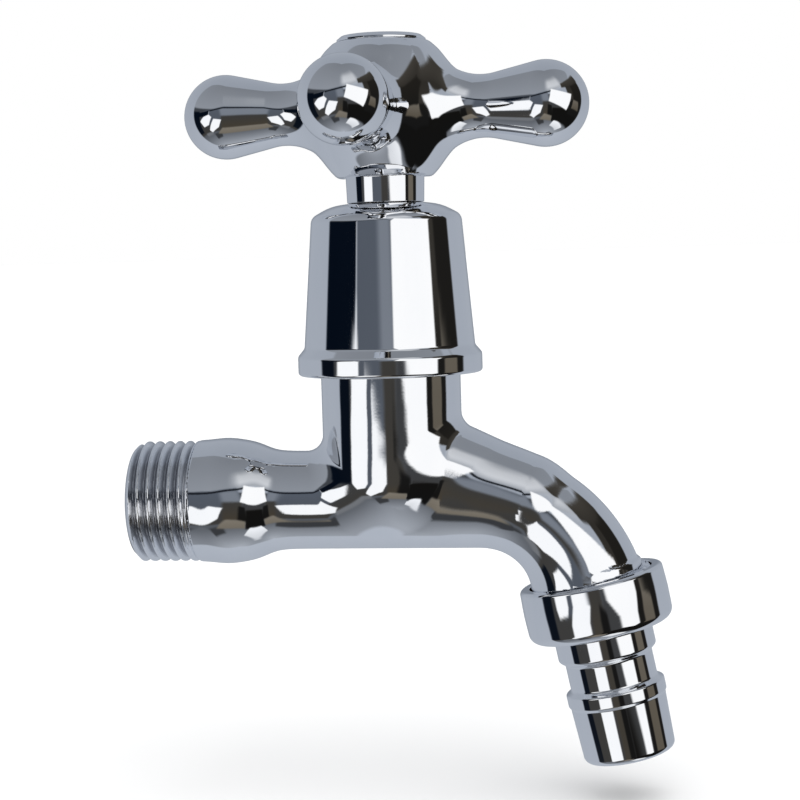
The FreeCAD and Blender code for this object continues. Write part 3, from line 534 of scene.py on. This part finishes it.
def rounded(corners, loop=True):
    """An outline through corners (across, up, round): points and their outward normals.

    Straight sides are joined by arcs, tangent to both, of each corner's radius. Along an arc the
    normal swings evenly from one side's to the next. The outside is on the right of the way.
    """
    spot = np.array([corner[:2] for corner in corners], float)
    radii = [corner[2] if len(corner) > 2 else LEAST_ROUND for corner in corners]
    points, normals = [], []
    for i, centre in enumerate(spot):
        if not loop and i in (0, len(spot) - 1):
            points.append(centre[None])
            normals.append(np.array([[0.0, -1.0 if i == 0 else 1.0]]))
            continue
        came = centre - spot[i - 1]
        goes = spot[(i + 1) % len(spot)] - centre
        before, after = math.atan2(came[1], came[0]), math.atan2(goes[1], goes[0])
        swing = (after - before + math.pi) % (2 * math.pi) - math.pi
        room = SIDE_SHARE * min(np.hypot(*came), np.hypot(*goes))
        radius = min(radii[i], room / max(math.tan(abs(swing) / 2), LEAST_TANGENT))
        count = max(3, math.ceil(abs(swing) / ARC_STEP) + 1)
        way = before + swing * np.linspace(0, 1, count)
        side = np.stack([np.sin(way), -np.cos(way)], axis=1)
        tangent = centre - came / np.hypot(*came) * radius * math.tan(abs(swing) / 2)
        middle = tangent - side[0] * radius * np.sign(swing)
        points.append(middle + side * radius * np.sign(swing))
        normals.append(side)
    return np.concatenate(points), np.concatenate(normals)


def lathe(name, corners, place, body, node, finish, loop=True):
    """Turn an outline through corners (across, up, round) into a closed skin.

    Each normal is taken from the outline, so that the arcs look as round as they are meant.
    """
    spot, side = rounded(corners, loop)
    point, faces = turned((spot[:, :1], spot[:, 1:]), LATHE_COLUMNS, place, loop)
    normal, _ = turned((side[:, :1], side[:, 1:]), LATHE_COLUMNS, place, loop)
    normal = normal - place(np.zeros((1, 3)))
    settle(name, point, faces, normal, body, node, finish)


def upright(point):
    """Stand a turned piece on the valve axis."""
    return point + np.array([VALVE_X, 0, 0])


turned_chrome = chrome("turned_chrome", LATHE_RIPPLE, LATHE_HAZE, LATHE_STRETCH)
skirt_top = BELL_LOW.z + SKIRT_HEIGHT
lathe("bell", [
    (SKIRT_RADIUS - BELL_WALL, BELL_LOW.z, 0.3),
    (SKIRT_RADIUS, BELL_LOW.z, 0.6),
    (SKIRT_RADIUS, skirt_top - 0.9, 0.9),
    (BELL_FOOT_RADIUS - 0.05, skirt_top + 0.5, 1.0),
    (BELL_HEAD_RADIUS - 0.1, BELL_HIGH.z - 2.3, 1.8),
    (9.4, BELL_HIGH.z - 0.45, 9.0),
    (NECK_BORE, BELL_HIGH.z, 0.1),
    (NECK_BORE, BELL_HIGH.z - 2.2, 0.1),
    (BELL_HEAD_RADIUS - 2.9, BELL_HIGH.z - 2.3, 0.4),
    (BELL_HEAD_RADIUS - BELL_WALL, BELL_HIGH.z - 3.9, 0.6),
    (BELL_FOOT_RADIUS - BELL_WALL, skirt_top, 0.4),
    (SKIRT_RADIUS - BELL_WALL, skirt_top - BELL_WALL, 0.4)],
    upright, "fixed_tap", "bell_cover", turned_chrome)

# Neck sleeve
# A short chromed nut, round and all but straight, screwed on the housing's tip. It clamps the
# bell, and its upper end goes up into the hub's foot.
SLEEVE_LOW, SLEEVE_HIGH = (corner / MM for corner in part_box("neck_sleeve"))
SLEEVE_RADIUS = (SLEEVE_HIGH.x - SLEEVE_LOW.x) / 2
lathe("neck", [
    (NECK_BORE, SLEEVE_LOW.z, 0.1),
    (SLEEVE_RADIUS - 0.17, SLEEVE_LOW.z, 0.12),
    (SLEEVE_RADIUS, SLEEVE_HIGH.z, 0.2),
    (NECK_BORE, SLEEVE_HIGH.z, 0.1)],
    upright, "fixed_tap", "neck_sleeve", turned_chrome)

# Cross handle
# A cast handle, ground and chromed: a waisted hub with four pear-shaped arms that flow into it.
# Its foot is bored for the neck, the broached hole above takes the spindle, and the recess in
# its top holds the screw and the cap.
HUB_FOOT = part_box("cross_handle")[0].z / MM
HUB_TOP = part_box("cross_handle")[1].z / MM
HANDLE_TURN = math.radians(-4)
FOOT_RADIUS = 8.0
FOOT_CONE = 0.6
HUB_RADIUS = 10.65
HUB_SWELL = 0.03
CROWN_DROP = 3.2
CROWN_CONE = 0.85
ARM_AXIS = HUB_FOOT + 11.2
ARM_REACH = 27.69
BALL_RADIUS = 7.2
WAIST_REACH = 17.3
WAIST_RADIUS = 5.27
ROOT_RADIUS = 9.0
ROOT_REACH = 9.6
ROOT_SOFTNESS = 1.8
ROOT_LIMIT = 0.98
ROOT_THROAT = WAIST_RADIUS + ROOT_RADIUS
ARM_LEAN = (math.atan2(ARM_REACH - WAIST_REACH, ROOT_THROAT)
            - math.acos((BALL_RADIUS + ROOT_RADIUS)
                        / math.hypot(ARM_REACH - WAIST_REACH, ROOT_THROAT)))
CAP_RECESS_RADIUS = 6.9
HOLES = [
    # radius, foot and top: for the neck, for the spindle, and for the screw and the cap
    (7.1, HUB_FOOT - 1, HUB_FOOT + 3.6),
    (4.05, HUB_FOOT, HUB_FOOT + 14.0),
    (CAP_RECESS_RADIUS, HUB_TOP - 8.6, HUB_TOP + 1),
]
FOOT_STEEPNESS = 0.73
CROWN_STEEPNESS = 0.76
FOOT_SOFTNESS = 1.6
CROWN_SOFTNESS = 1.8
TOP_EDGE = 0.5
FOOT_EDGE = 0.3
HOLE_EDGE = 0.2
ARM_FILLET = 1.2
HUB_FILLET = 3.0
HANDLE_STEP = 0.45
HANDLE_ROOM = 0.8
HANDLE_RIPPLE = 0.00012
HANDLE_HAZE = 0.02


def arm_distance(reach, off):
    """How far a point lies outside an arm, from its reach and its distance to the arm's axis.

    The arm's outline is a hollow arc at the root, which runs out softly inside the hub, a straight
    side leaning out by a few degrees, and the round of the ball, each tangent to the next.
    """
    inner = (reach + ROOT_REACH + np.hypot(reach - ROOT_REACH, ROOT_SOFTNESS)) / 2
    rise = np.clip(WAIST_REACH - inner, 0, ROOT_RADIUS * ROOT_LIMIT)
    root = ROOT_THROAT - np.sqrt(ROOT_RADIUS ** 2 - rise ** 2)
    past = np.maximum(reach - WAIST_REACH, 0)
    turn = ROOT_RADIUS * math.sin(ARM_LEAN)
    bowed = ROOT_THROAT - np.sqrt(ROOT_RADIUS ** 2 - np.minimum(past, turn) ** 2)
    side = np.where(past > 0, bowed + np.maximum(past - turn, 0) * math.tan(ARM_LEAN), root)
    ball = np.hypot(reach - ARM_REACH, off) - BALL_RADIUS
    return np.where(reach > ARM_REACH - BALL_RADIUS * math.sin(ARM_LEAN), ball,
                    (off - side) * math.cos(ARM_LEAN))


def bored(solid, round_z, z, radius, foot, top):
    """Take a round hole out of a solid, from its foot height to its top height."""
    hole = np.maximum(np.maximum(round_z - radius, z - top), foot - z)
    return trimmed(solid, -hole, HOLE_EDGE)


def handle(point):
    """The field of the handle: hub and arms joined with hollow rounds, less its three holes.

    The hub's radius is the least of a foot cone, a waist that swells slowly upwards and a crown
    cone, with soft changes between them.
    """
    x, y, z = (point - np.array([VALVE_X, 0, 0])).T
    right = x * math.cos(HANDLE_TURN) + y * math.sin(HANDLE_TURN)
    ahead = y * math.cos(HANDLE_TURN) - x * math.sin(HANDLE_TURN)
    up = z - ARM_AXIS
    round_z = np.hypot(x, y)
    hub = round_z - HUB_RADIUS - HUB_SWELL * up
    flare = round_z - FOOT_RADIUS - FOOT_CONE * (z - HUB_FOOT)
    crown = round_z - HUB_RADIUS - CROWN_CONE * (HUB_TOP - CROWN_DROP - z)
    hub = trimmed(hub, flare * FOOT_STEEPNESS, FOOT_SOFTNESS)
    hub = trimmed(hub, crown * CROWN_STEEPNESS, CROWN_SOFTNESS)
    hub = trimmed(trimmed(hub, z - HUB_TOP, TOP_EDGE), HUB_FOOT - z, FOOT_EDGE)
    arms = joined(arm_distance(np.abs(right), np.hypot(ahead, up)),
                  arm_distance(np.abs(ahead), np.hypot(right, up)), ARM_FILLET)
    solid = joined(hub, arms, HUB_FILLET)
    for radius, foot, top in HOLES:
        solid = bored(solid, round_z, z, radius, foot, top)
    return solid


handle_chrome = chrome("handle_chrome", HANDLE_RIPPLE, HANDLE_HAZE)
half = ARM_REACH + BALL_RADIUS + HANDLE_ROOM
point, faces, normal = skin(handle, (VALVE_X - half, -half, HUB_FOOT - 1),
                            (VALVE_X + half, half, HUB_TOP + 1), HANDLE_STEP)
settle("handle", point, faces, normal, "turning_handle", "cross_handle",
       handle_chrome)

# Index cap
# A chromed cap that snaps into the hub's top over the screw, with a low crown and a bevelled rim.
CAP_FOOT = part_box("index_cap")[0].z / MM
CAP_RADIUS = 7.5
CAP_TOP = HUB_TOP + 1.25
CAP_CEILING = HUB_TOP + 0.4
CAP_SLEEVE = CAP_RECESS_RADIUS - 0.15
CAP_HOLLOW = CAP_RECESS_RADIUS - 1.05
lathe("cap", [
    (0, CAP_CEILING),
    (CAP_HOLLOW, CAP_CEILING, 0.1),
    (CAP_HOLLOW, CAP_FOOT, 0.1),
    (CAP_SLEEVE, CAP_FOOT, 0.1),
    (CAP_SLEEVE, HUB_TOP, 0.08),
    (CAP_RADIUS, HUB_TOP, 0.1),
    (CAP_RADIUS, HUB_TOP + 0.35, 0.15),
    (CAP_RADIUS - 0.8, CAP_TOP - 0.3, 0.4),
    (CAP_RADIUS * 0.45, CAP_TOP - 0.04, 20.0),
    (0, CAP_TOP)],
    upright, "turning_handle", "index_cap", turned_chrome, loop=False)

# Union nut
# A plain round nut, turned and chromed, with a barely swelled side and softened rims. It draws
# the nozzle's flange up against the washer on the spout's end.
NUT_RADIUS = 12.45
NUT_HEIGHT = 9.3
NUT_WEB = 7.6
NUT_BORE = 10.55
NOZZLE_HOLE = 8.55


def down_flow(point):
    """Hang a turned piece on the spout's mouth, its height running with the water."""
    across = [-math.cos(TILT), 0, -math.sin(TILT)]
    return NUT + point @ np.array([across, [0, 1, 0], FLOW])


lathe("nut", [
    (NUT_BORE, 0, 0.15),
    (NUT_RADIUS - 0.2, 0, 0.7),
    (NUT_RADIUS, NUT_HEIGHT * 0.45, 40.0),
    (NUT_RADIUS - 0.15, NUT_HEIGHT, 1.7),
    (NOZZLE_HOLE, NUT_HEIGHT, 0.15),
    (NOZZLE_HOLE, NUT_WEB, 0.1),
    (NUT_BORE, NUT_WEB, 0.2)],
    down_flow, "fixed_tap", "union_nut", turned_chrome)

# Hose nozzle
# Turned brass, chromed: a flange held by the nut, a barrel, a narrow groove for a connector's
# claws, a lip, and a tip that tapers to a rounded end.
BARREL_RADIUS = 8.4
GROOVE_RADIUS = 7.45
LIP_RADIUS = 8.45
TIP_RADIUS = 8.15
TIP_END_RADIUS = 7.8
NOZZLE_BORE = 5.6
BARREL_END = NUT_HEIGHT + 4.7
GROOVE_END = BARREL_END + 4.5
LIP_END = GROOVE_END + 3.1
TIP_END = LIP_END + 9.56
FLANGE_RADIUS = 10.3
FLANGE_FACE = NUT_WEB - 1.5
lathe("nozzle", [
    (NOZZLE_BORE, FLANGE_FACE, 0.1),
    (FLANGE_RADIUS, FLANGE_FACE, 0.15),
    (FLANGE_RADIUS, NUT_WEB, 0.15),
    (BARREL_RADIUS, NUT_WEB, 0.1),
    (BARREL_RADIUS, BARREL_END - 0.75, 0.7),
    (GROOVE_RADIUS, BARREL_END, 0.6),
    (GROOVE_RADIUS, GROOVE_END, 0.5),
    (LIP_RADIUS, GROOVE_END + 0.6, 0.4),
    (LIP_RADIUS, LIP_END - 0.5, 0.4),
    (TIP_RADIUS, LIP_END, 0.25),
    (TIP_END_RADIUS, TIP_END, 1.1),
    (NOZZLE_BORE, TIP_END, 0.3)],
    down_flow, "fixed_tap", "hose_nozzle", turned_chrome)

# Studio
# A pale floor below the tap and soft light from all round. The tap stands in a pale tent, open
# to the front. Through the opening its chrome mirrors a dim room: a pale ceiling, a large softbox
# to the right, two small ones low to the left and a white sheet on the table.
FLOOR_DROP = 0.006
FLOOR_HALF = 30.0
PAPER_DARK = (0.88, 0.88, 0.88, 1)
PAPER_LIGHT = (0.9, 0.9, 0.9, 1)
BODY_TURN = 9.0
ROOM_RADIUS = 1.4
ROOM_COLUMNS = 289
ROOM_ROWS = 145
ROOM_GLOW = 1.08
FULL_LEVEL = 255
TENT = (170, -7.5)
TENT_SLOPE = 0.16
TENT_BACK = 148
TENT_BACK_WIDTH = 32
TENT_FALL = 42
TENT_WAY = (4.0, 8.0)
TENT_OPENING = 99.5
TENT_RIM = 4
WARMTH = np.array([1.0, 0.15, -1.2])
CURVE_FOOT = 0.04045
CURVE_FOOT_SLOPE = 12.92
CURVE_SHIFT = 0.055
CURVE_POWER = 2.4
ROOM_PATCHES = [
    # corners as (bearing, height), width of the soft edge, tone at the lowest and highest corner
    ([(-125, -3), (118, 53), (118, 90), (-125, 90)], 2.5, (153, -6), (126, -5)),
    ([(0, 31), (48, 37), (46, 63), (-2, 57)], 18, (216, -3), (184, -3)),
    ([(-115, -91), (115, -91), (115, -36), (-115, -36)], 5, (176, -6), (80, -4)),
    ([(-104, -39), (112, -39), (112, 19), (-104, 19)], 4, (58, 2), (66, -4)),
    ([(-55, -22), (9, -7), (1, 28), (-63, 13)], 4, (84, -6), (94, -8)),
    ([(-10, -6), (8, -2), (2, 24), (-16, 20)], 10, (124, -7), (128, -7)),
    ([(-106, -1.5), (19, 27.5), (18, 30.5), (-107, 1.5)], 2, (26, -4), (26, -4)),
    ([(-101, -34), (-75, -34), (-75, 12), (-101, 12)], 4, (20, -6), (13, -8)),
    ([(-102, 1), (-46, 2), (-46, 14), (-102, 6)], 2.5, (13, -8), (15, -8)),
    ([(-12, -33), (8, -33), (8, 1), (-12, 1)], 7, (60, 7), (58, 1)),
    ([(0, -36), (16, -36), (12, -10), (2, -7)], 4, (20, 1), (24, 0)),
    ([(14, -52), (106, -52), (106, -16), (14, -16)], 5, (18, 0), (18, 1)),
    ([(-40, -61), (-13, -57), (-14, -43), (-41, -45)], 6, (58, -2), (58, -2)),
    ([(-71, -46), (-45, -46), (-45, -38), (-71, -38)], 5, (112, -3), (118, -3)),
    ([(-28, -47), (13, -51), (14, -38), (-9, -31)], 5, (104, 8), (118, 8)),
    ([(13, -65), (70, -73), (79, -58), (44, -50), (25, -49)], 4, (210, -3), (250, -2)),
    ([(61, -28), (107, -28), (107, 44), (61, 44)], 5, (22, 0), (32, 3)),
    ([(59, 4), (75, 4), (75, 40), (59, 40)], 5, (50, 3), (42, 3)),
    ([(46, 33), (122, 31), (122, 42), (80, 46), (48, 43)], 4, (44, 3), (62, 4)),
    ([(69, -14), (94, -16), (91, 0), (74, 4)], 3.5, (76, 8), (102, 7)),
    ([(-48, 2), (-45.5, 2), (-44.5, 15), (-46, 15)], 1.5, (185, -5), (150, -5)),
    ([(-74, -8), (-65, -23), (-49, -20), (-38, -1), (-46, 5.5), (-62, 1)], 2, (252, -1), (252, -1)),
    ([(-46, -24), (-52, -33), (-45, -40), (-20, -29), (-11, -9), (-33, -5.5)], 2.5,
     (251, -1), (251, -1)),
    ([(4, 1), (55, -20), (70, 16), (13, 33)], 2.5, (253, 0), (254, 0)),
]
room_centre = np.array([VALVE_X + ARM_REACH * math.sin(HANDLE_TURN),
                        -ARM_REACH * math.cos(HANDLE_TURN), ARM_AXIS]) * MM
floor_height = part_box("hose_nozzle")[0].z - FLOOR_DROP
mesh = bpy.data.meshes.new("floor")
mesh.from_pydata([(x * FLOOR_HALF, y * FLOOR_HALF, floor_height) for x, y in
                  ((-1, -1), (1, -1), (1, 1), (-1, 1))], [], [(0, 1, 2, 3)])
floor = bpy.data.objects.new("floor", mesh)
bpy.context.scene.collection.objects.link(floor)
paper = Finish("pale_paper")
paper.feed(paper.shader, {
    "Base Color": paper.blend(paper.noise(3), PAPER_DARK, PAPER_LIGHT),
    "Roughness": 0.95})
floor.data.materials.append(paper.material)
floor.visible_glossy = False


def eased(share):
    """A step from 0 to 1 whose ends are soft."""
    share = np.clip(share, 0, 1)
    return share * share * (3 - 2 * share)


def tinted(tone):
    """Red, green and blue levels of a tone (level, warmth)."""
    return tone[0] + tone[1] * WARMTH


def degrees_between(bearing, height, way_bearing, way_height):
    """The angle between ways given by bearing and height.

    Its cosine is the product of both sines of height, plus that of both cosines of height and
    the cosine of the difference in bearing.
    """
    rise, way = np.radians(height), math.radians(way_height)
    side = np.cos(np.radians(bearing - way_bearing))
    return np.degrees(np.arccos(np.sin(rise) * math.sin(way) + np.cos(rise) * math.cos(way) * side))


def room_levels(bearing, height):
    """The levels of the room round the tap, from 0 to 255, over bearings and heights.

    Both are in degrees: bearing 0 is the camera's, and bearings grow to its right. The tent is
    the base, a little darker higher up and straight behind the tap. Each patch is laid over it
    in turn: a convex outline with soft edges whose tone goes evenly from its lowest to its
    highest corner. All the patches show only through the tent's round opening.
    """
    back = degrees_between(bearing, height, 0, 0)
    shade = TENT_SLOPE * height + TENT_FALL * eased((back - TENT_BACK) / TENT_BACK_WIDTH)
    level = tinted(TENT) - shade[..., None]
    away = degrees_between(bearing, height, *TENT_WAY)
    opening = eased((TENT_OPENING - away) / TENT_RIM + 0.5)
    room = level
    for corners, soft, low, high in ROOM_PATCHES:
        cover = 1.0
        for (left, below), (right, above) in zip(corners, corners[1:] + corners[:1]):
            inside = (right - left) * (height - below) - (above - below) * (bearing - left)
            cover = cover * eased(inside / math.hypot(right - left, above - below) / soft + 0.5)
        lowest, highest = min(c[1] for c in corners), max(c[1] for c in corners)
        share = np.clip((height - lowest) / (highest - lowest), 0, 1)[..., None]
        tone = tinted(low) * (1 - share) + tinted(high) * share
        room = room + (tone - room) * cover[..., None]
    return level + (room - level) * opening[..., None]


def as_light(share):
    """The light of a share of full level: the screen's standard curve, straight near black."""
    curve = ((share + CURVE_SHIFT) / (1 + CURVE_SHIFT)) ** CURVE_POWER
    return np.where(share <= CURVE_FOOT, share / CURVE_FOOT_SLOPE, curve)


across, up = np.meshgrid(np.linspace(-180, 180, ROOM_COLUMNS), np.linspace(-90, 90, ROOM_ROWS))
swing, lift = np.radians(across + BODY_TURN), np.radians(up)
way = np.stack([np.sin(swing) * np.cos(lift), -np.cos(swing) * np.cos(lift), np.sin(lift)], -1)
point = ROOM_RADIUS * way.reshape(-1, 3) + room_centre
here = np.arange(across.size).reshape(across.shape)
faces = np.stack([here[:-1, :-1], here[1:, :-1], here[1:, 1:], here[:-1, 1:]], -1).reshape(-1, 4)
mesh = bpy.data.meshes.new("room")
mesh.from_pydata(point.tolist(), [], faces.tolist())
light = as_light(np.clip(room_levels(across, up), 0, FULL_LEVEL) / FULL_LEVEL)
opaque = np.ones_like(light[..., :1])
tone = mesh.attributes.new("tone", "FLOAT_COLOR", "POINT")
tone.data.foreach_set("color", np.concatenate([light, opaque], -1).astype(np.float32).ravel())
glow = Finish("room_light")
glow.feed(glow.shader, {
    "Base Color": (0, 0, 0, 1),
    "Specular IOR Level": 0.0,
    "Roughness": 1.0,
    "Emission Color": glow.node("ShaderNodeAttribute", {"attribute_name": "tone"}, {}, "Color"),
    "Emission Strength": ROOM_GLOW})
mesh.materials.append(glow.material)
room = bpy.data.objects.new("room", mesh)
bpy.context.scene.collection.objects.link(room)
room.visible_camera = room.visible_diffuse = room.visible_shadow = False

LAMP_ENERGY = 1.0
LAMP_SPREAD = math.radians(60)
LAMP_TURN = (math.radians(20), math.radians(15), 0)
world = bpy.data.worlds.new("soft_white")
bpy.context.scene.world = world
world.use_nodes = True
world.node_tree.nodes["Background"].inputs["Color"].default_value = (1, 1, 1, 1)
world.node_tree.nodes["Background"].inputs["Strength"].default_value = 1.0
lamp = bpy.data.objects.new("lamp_above", bpy.data.lights.new("lamp_above", "SUN"))
lamp.data.energy = LAMP_ENERGY
lamp.data.angle = LAMP_SPREAD
lamp.rotation_euler = LAMP_TURN
lamp.visible_glossy = False
bpy.context.scene.collection.objects.link(lamp)
bpy.context.scene.view_settings.view_transform = "Standard"

# Camera
# It stands a little to the spout's side at the height of the bell, and looks slightly down. The
# photograph's own small lean is kept.
EYE_DISTANCE = 0.332
EYE_HEIGHT = 0.0426
AIM_HEIGHT = 0.01697
AIM_SIDE = 0.00145
FOCAL_PIXELS = 1949
PHOTO_PIXELS = 800
SENSOR_WIDTH = 36
CLIP_START = 0.01
LEAN = math.radians(1.65)
bearing = math.radians(BODY_TURN)
eye = Vector((VALVE_X * MM + EYE_DISTANCE * math.sin(bearing),
              -EYE_DISTANCE * math.cos(bearing), EYE_HEIGHT))
aim = Vector((VALVE_X * MM + AIM_SIDE * math.cos(bearing),
              AIM_SIDE * math.sin(bearing), AIM_HEIGHT))
camera = bpy.data.objects.new("camera", bpy.data.cameras.new("camera"))
camera.data.sensor_width = SENSOR_WIDTH
camera.data.lens = FOCAL_PIXELS / PHOTO_PIXELS * SENSOR_WIDTH
camera.data.clip_start = CLIP_START
camera.rotation_mode = "QUATERNION"
camera.location = eye
camera.rotation_quaternion = (aim - eye).to_track_quat("-Z", "Y") @ Quaternion((0, 0, 1), -LEAN)
bpy.context.scene.collection.objects.link(camera)
bpy.context.scene.camera = camera
